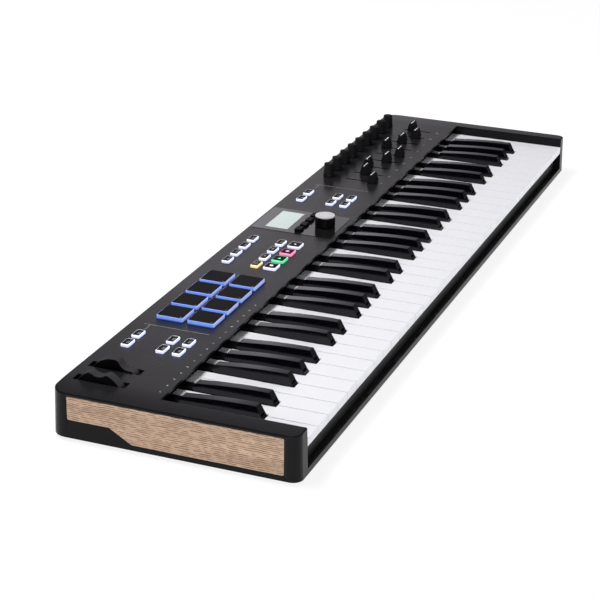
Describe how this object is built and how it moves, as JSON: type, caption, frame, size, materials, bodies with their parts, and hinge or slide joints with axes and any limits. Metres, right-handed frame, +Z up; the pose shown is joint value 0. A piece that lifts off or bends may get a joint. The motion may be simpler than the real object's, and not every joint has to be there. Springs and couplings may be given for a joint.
{
  "type": "midi keyboard",
  "caption": "Low keyboard controller with piano-style keys on one pivot rod, bend and modulation wheels, lit pads and buttons, display, encoder, knobs, faders and wooden end inlays.",
  "frame": {"origin": "centre of the case's outline, on the plane of the feet", "axes": "+X along the keys from low to high, +Y from the player to the rear, +Z up"},
  "size_m": [0.886, 0.232, 0.0625],
  "materials": {
    "case_black": "fine satin texture",
    "plate_black": "satin black paint",
    "oak": "open-grain oak, clear matt",
    "window": "polished",
    "screen": "lit liquid crystal",
    "white_key": "satin gloss",
    "black_key": "gloss",
    "steel": "bright zinc",
    "felt": "pressed felt",
    "board": "solder mask",
    "contact_rubber": "moulded silicone",
    "soft_black": "soft matt",
    "lit_button": "lit translucent",
    "panel_print": "screen print",
    "lit_pad": "lit translucent silicone"
  },
  "bodies": {
    "case": {"top_case": "case_black", "bottom_plate": "plate_black", "wood_inlay_left": "oak", "wood_inlay_right": "oak", "display_window": "window", "lcd_module": "screen", "key_chassis": "plate_black", "key_pivot_rod": "steel", "key_return_springs": "steel", "key_stop_felts": "felt", "key_contact_boards": "board", "key_contact_strips": "contact_rubber", "wheel_bracket": "steel", "pitch_return_spring": "steel", "main_board": "board", "control_boards": "board", "fader_pots": "steel", "rotary_pots": "steel", "rear_sockets": "steel", "rubber_feet": "soft_black", "case_screws": "steel"},
    "key_c": {"key_c": "white_key"},
    "key_c_sharp": {"key_c_sharp": "black_key"},
    "key_d": {"key_d": "white_key"},
    "key_d_sharp": {"key_d_sharp": "black_key"},
    "key_e": {"key_e": "white_key"},
    "key_f": {"key_f": "white_key"},
    "key_f_sharp": {"key_f_sharp": "black_key"},
    "key_g": {"key_g": "white_key"},
    "key_g_sharp": {"key_g_sharp": "black_key"},
    "key_a": {"key_a": "white_key"},
    "key_a_sharp": {"key_a_sharp": "black_key"},
    "key_b": {"key_b": "white_key"},
    "key_top_c": {"key_top_c": "white_key"},
    "pitch_wheel": {"pitch_wheel": "soft_black"},
    "mod_wheel": {"mod_wheel": "soft_black"},
    "pads": {"pads": "lit_pad"},
    "function_buttons": {"function_buttons": "lit_button"},
    "transport_buttons": {"transport_buttons": "lit_button"},
    "display_buttons": {"display_buttons": "soft_black"},
    "encoder_shaft": {"encoder_shaft": "steel"},
    "encoder_knob": {"encoder_knob": "soft_black"},
    "knob_1": {"knob_1": "soft_black"},
    "knob_2": {"knob_2": "soft_black"},
    "knob_3": {"knob_3": "soft_black"},
    "knob_4": {"knob_4": "soft_black"},
    "knob_5": {"knob_5": "soft_black"},
    "knob_6": {"knob_6": "soft_black"},
    "knob_7": {"knob_7": "soft_black"},
    "knob_8": {"knob_8": "soft_black"},
    "knob_9": {"knob_9": "soft_black"},
    "fader_1": {"fader_1": "soft_black"},
    "fader_2": {"fader_2": "soft_black"},
    "fader_3": {"fader_3": "soft_black"},
    "fader_4": {"fader_4": "soft_black"},
    "fader_5": {"fader_5": "soft_black"},
    "fader_6": {"fader_6": "soft_black"},
    "fader_7": {"fader_7": "soft_black"},
    "fader_8": {"fader_8": "soft_black"},
    "fader_9": {"fader_9": "soft_black"}
  },
  "joints": [
    {"name": "key_c_press", "type": "hinge", "parent": "case", "child": "key_c", "pos_m": [0, 0.046, 0.0285], "axis": [1, 0, 0], "range_deg": [0, 3.56], "stiffness_Nm_per_rad": 2, "springref_deg": -11.46, "deforming": ["key_return_springs", "key_contact_strips"]},
    {"name": "key_c_sharp_press", "type": "hinge", "parent": "case", "child": "key_c_sharp", "pos_m": [0, 0.046, 0.0285], "axis": [1, 0, 0], "range_deg": [0, 3.56], "stiffness_Nm_per_rad": 2, "springref_deg": -11.46, "deforming": ["key_return_springs", "key_contact_strips"]},
    {"name": "key_d_press", "type": "hinge", "parent": "case", "child": "key_d", "pos_m": [0, 0.046, 0.0285], "axis": [1, 0, 0], "range_deg": [0, 3.56], "stiffness_Nm_per_rad": 2, "springref_deg": -11.46, "deforming": ["key_return_springs", "key_contact_strips"]},
    {"name": "key_d_sharp_press", "type": "hinge", "parent": "case", "child": "key_d_sharp", "pos_m": [0, 0.046, 0.0285], "axis": [1, 0, 0], "range_deg": [0, 3.56], "stiffness_Nm_per_rad": 2, "springref_deg": -11.46, "deforming": ["key_return_springs", "key_contact_strips"]},
    {"name": "key_e_press", "type": "hinge", "parent": "case", "child": "key_e", "pos_m": [0, 0.046, 0.0285], "axis": [1, 0, 0], "range_deg": [0, 3.56], "stiffness_Nm_per_rad": 2, "springref_deg": -11.46, "deforming": ["key_return_springs", "key_contact_strips"]},
    {"name": "key_f_press", "type": "hinge", "parent": "case", "child": "key_f", "pos_m": [0, 0.046, 0.0285], "axis": [1, 0, 0], "range_deg": [0, 3.56], "stiffness_Nm_per_rad": 2, "springref_deg": -11.46, "deforming": ["key_return_springs", "key_contact_strips"]},
    {"name": "key_f_sharp_press", "type": "hinge", "parent": "case", "child": "key_f_sharp", "pos_m": [0, 0.046, 0.0285], "axis": [1, 0, 0], "range_deg": [0, 3.56], "stiffness_Nm_per_rad": 2, "springref_deg": -11.46, "deforming": ["key_return_springs", "key_contact_strips"]},
    {"name": "key_g_press", "type": "hinge", "parent": "case", "child": "key_g", "pos_m": [0, 0.046, 0.0285], "axis": [1, 0, 0], "range_deg": [0, 3.56], "stiffness_Nm_per_rad": 2, "springref_deg": -11.46, "deforming": ["key_return_springs", "key_contact_strips"]},
    {"name": "key_g_sharp_press", "type": "hinge", "parent": "case", "child": "key_g_sharp", "pos_m": [0, 0.046, 0.0285], "axis": [1, 0, 0], "range_deg": [0, 3.56], "stiffness_Nm_per_rad": 2, "springref_deg": -11.46, "deforming": ["key_return_springs", "key_contact_strips"]},
    {"name": "key_a_press", "type": "hinge", "parent": "case", "child": "key_a", "pos_m": [0, 0.046, 0.0285], "axis": [1, 0, 0], "range_deg": [0, 3.56], "stiffness_Nm_per_rad": 2, "springref_deg": -11.46, "deforming": ["key_return_springs", "key_contact_strips"]},
    {"name": "key_a_sharp_press", "type": "hinge", "parent": "case", "child": "key_a_sharp", "pos_m": [0, 0.046, 0.0285], "axis": [1, 0, 0], "range_deg": [0, 3.56], "stiffness_Nm_per_rad": 2, "springref_deg": -11.46, "deforming": ["key_return_springs", "key_contact_strips"]},
    {"name": "key_b_press", "type": "hinge", "parent": "case", "child": "key_b", "pos_m": [0, 0.046, 0.0285], "axis": [1, 0, 0], "range_deg": [0, 3.56], "stiffness_Nm_per_rad": 2, "springref_deg": -11.46, "deforming": ["key_return_springs", "key_contact_strips"]},
    {"name": "key_top_c_press", "type": "hinge", "parent": "case", "child": "key_top_c", "pos_m": [0, 0.046, 0.0285], "axis": [1, 0, 0], "range_deg": [0, 3.56], "stiffness_Nm_per_rad": 0.4, "springref_deg": -11.46, "deforming": ["key_return_springs", "key_contact_strips"]},
    {"name": "pitch_bend", "type": "hinge", "parent": "case", "child": "pitch_wheel", "pos_m": [-0.4117, 0.08125, 0.0325], "axis": [-1, 0, 0], "range_deg": [-30, 30], "stiffness_Nm_per_rad": 0.1},
    {"name": "modulation", "type": "hinge", "parent": "case", "child": "mod_wheel", "pos_m": [-0.3832, 0.08125, 0.0325], "axis": [-1, 0, 0], "range_deg": [0, 60]},
    {"name": "pad_press", "type": "slide", "parent": "case", "child": "pads", "axis": [0, 0, -1], "range_m": [0, 0.0008], "stiffness_N_per_m": 4000, "springref_m": -0.0008},
    {"name": "function_press", "type": "slide", "parent": "case", "child": "function_buttons", "axis": [0, 0, -1], "range_m": [0, 0.0006], "stiffness_N_per_m": 5000, "springref_m": -0.0008},
    {"name": "transport_press", "type": "slide", "parent": "case", "child": "transport_buttons", "axis": [0, 0, -1], "range_m": [0, 0.0006], "stiffness_N_per_m": 1500, "springref_m": -0.0008},
    {"name": "display_press", "type": "slide", "parent": "case", "child": "display_buttons", "axis": [0, 0, -1], "range_m": [0, 0.0006], "stiffness_N_per_m": 1200, "springref_m": -0.0008},
    {"name": "encoder_push", "type": "slide", "parent": "case", "child": "encoder_shaft", "axis": [0, 0, -1], "range_m": [0, 0.0005], "stiffness_N_per_m": 1500, "springref_m": -0.0008},
    {"name": "encoder_turn", "type": "hinge", "parent": "encoder_shaft", "child": "encoder_knob", "pos_m": [0.0219, 0.0405, 0.047], "axis": [0, 0, -1], "continuous": true},
    {"name": "knob_1_turn", "type": "hinge", "parent": "case", "child": "knob_1", "pos_m": [0.1775, 0.0955, 0.047], "axis": [0, 0, -1], "range_deg": [-150, 150]},
    {"name": "knob_2_turn", "type": "hinge", "parent": "case", "child": "knob_2", "pos_m": [0.2032, 0.0955, 0.047], "axis": [0, 0, -1], "range_deg": [-150, 150]},
    {"name": "knob_3_turn", "type": "hinge", "parent": "case", "child": "knob_3", "pos_m": [0.2289, 0.0955, 0.047], "axis": [0, 0, -1], "range_deg": [-150, 150]},
    {"name": "knob_4_turn", "type": "hinge", "parent": "case", "child": "knob_4", "pos_m": [0.2546, 0.0955, 0.047], "axis": [0, 0, -1], "range_deg": [-150, 150]},
    {"name": "knob_5_turn", "type": "hinge", "parent": "case", "child": "knob_5", "pos_m": [0.2803, 0.0955, 0.047], "axis": [0, 0, -1], "range_deg": [-150, 150]},
    {"name": "knob_6_turn", "type": "hinge", "parent": "case", "child": "knob_6", "pos_m": [0.306, 0.0955, 0.047], "axis": [0, 0, -1], "range_deg": [-150, 150]},
    {"name": "knob_7_turn", "type": "hinge", "parent": "case", "child": "knob_7", "pos_m": [0.3317, 0.0955, 0.047], "axis": [0, 0, -1], "range_deg": [-150, 150]},
    {"name": "knob_8_turn", "type": "hinge", "parent": "case", "child": "knob_8", "pos_m": [0.3574, 0.0955, 0.047], "axis": [0, 0, -1], "range_deg": [-150, 150]},
    {"name": "knob_9_turn", "type": "hinge", "parent": "case", "child": "knob_9", "pos_m": [0.3831, 0.0955, 0.047], "axis": [0, 0, -1], "range_deg": [-150, 150]},
    {"name": "fader_1_slide", "type": "slide", "parent": "case", "child": "fader_1", "axis": [0, 1, 0], "range_m": [-0.0007, 0.0293]},
    {"name": "fader_2_slide", "type": "slide", "parent": "case", "child": "fader_2", "axis": [0, 1, 0], "range_m": [-0.0186, 0.0114]},
    {"name": "fader_3_slide", "type": "slide", "parent": "case", "child": "fader_3", "axis": [0, 1, 0], "range_m": [-0.0245, 0.0055]},
    {"name": "fader_4_slide", "type": "slide", "parent": "case", "child": "fader_4", "axis": [0, 1, 0], "range_m": [-0.0106, 0.0194]},
    {"name": "fader_5_slide", "type": "slide", "parent": "case", "child": "fader_5", "axis": [0, 1, 0], "range_m": [-0.0036, 0.0264]},
    {"name": "fader_6_slide", "type": "slide", "parent": "case", "child": "fader_6", "axis": [0, 1, 0], "range_m": [-0.0284, 0.0016]},
    {"name": "fader_7_slide", "type": "slide", "parent": "case", "child": "fader_7", "axis": [0, 1, 0], "range_m": [-0.0175, 0.0125]},
    {"name": "fader_8_slide", "type": "slide", "parent": "case", "child": "fader_8", "axis": [0, 1, 0], "range_m": [-0.0084, 0.0216]},
    {"name": "fader_9_slide", "type": "slide", "parent": "case", "child": "fader_9", "axis": [0, 1, 0], "range_m": [-0.0213, 0.0087]}
  ]
}
